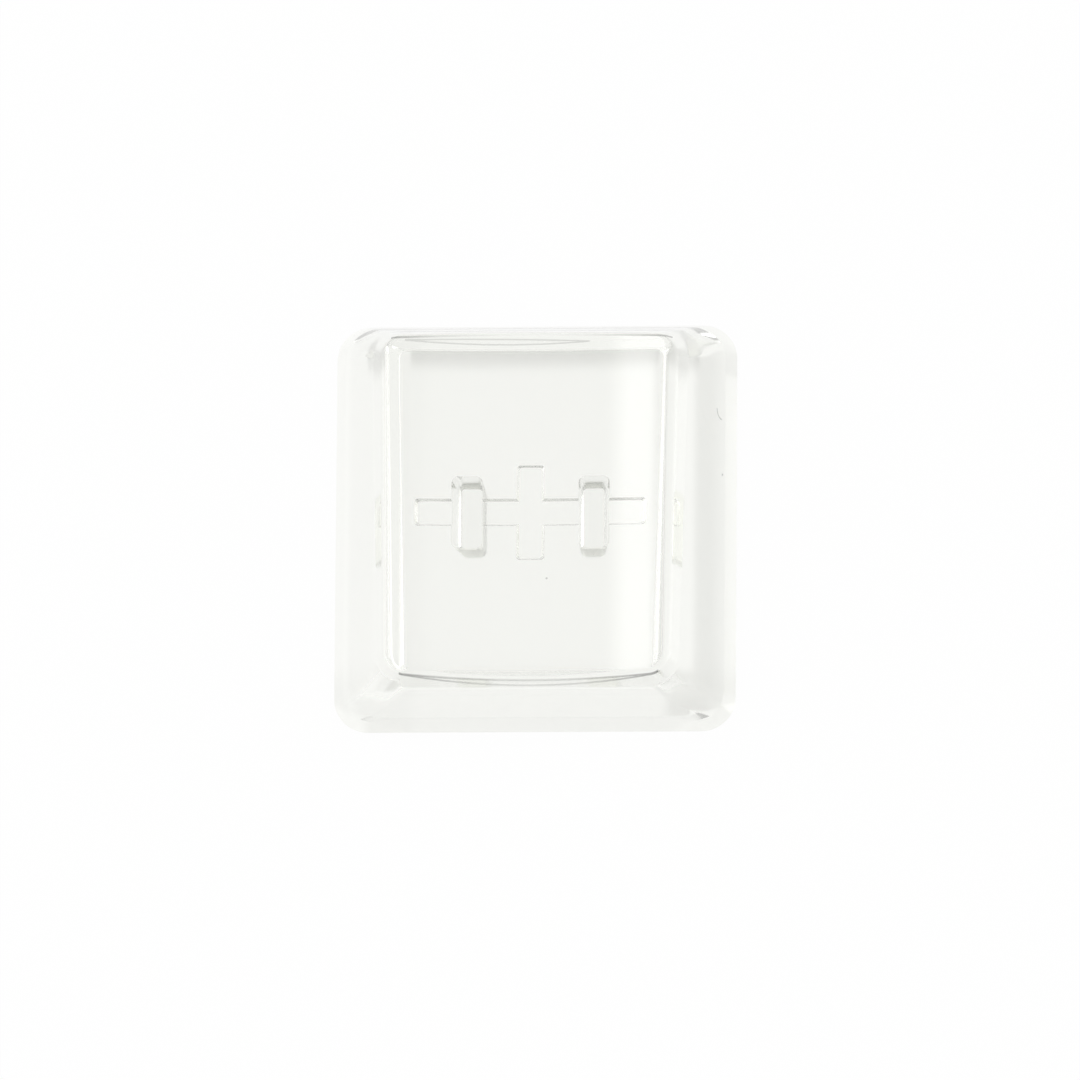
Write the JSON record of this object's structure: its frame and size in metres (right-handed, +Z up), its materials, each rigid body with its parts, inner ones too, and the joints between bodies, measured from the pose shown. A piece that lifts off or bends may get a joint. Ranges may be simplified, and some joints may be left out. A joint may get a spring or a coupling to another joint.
{
  "type": "keycap",
  "caption": "Blank clear one-piece low-profile keycap: tapered hollow shell, dished top, ribbed underside and prongs that push into a key switch.",
  "frame": {"origin": "middle of the cap's footprint, on the plane of its rim", "axes": "+Z up through the dished top; X across the dish, along the line of the two prongs; -Y towards the end where the top is higher"},
  "size_m": [0.0176, 0.018, 0.006],
  "materials": {
    "clear_plastic": "water-clear with a faint warm tint, polished outside and fine satin under the top plate"
  },
  "bodies": {
    "root": {"keycap": "clear_plastic"}
  },
  "joints": []
}
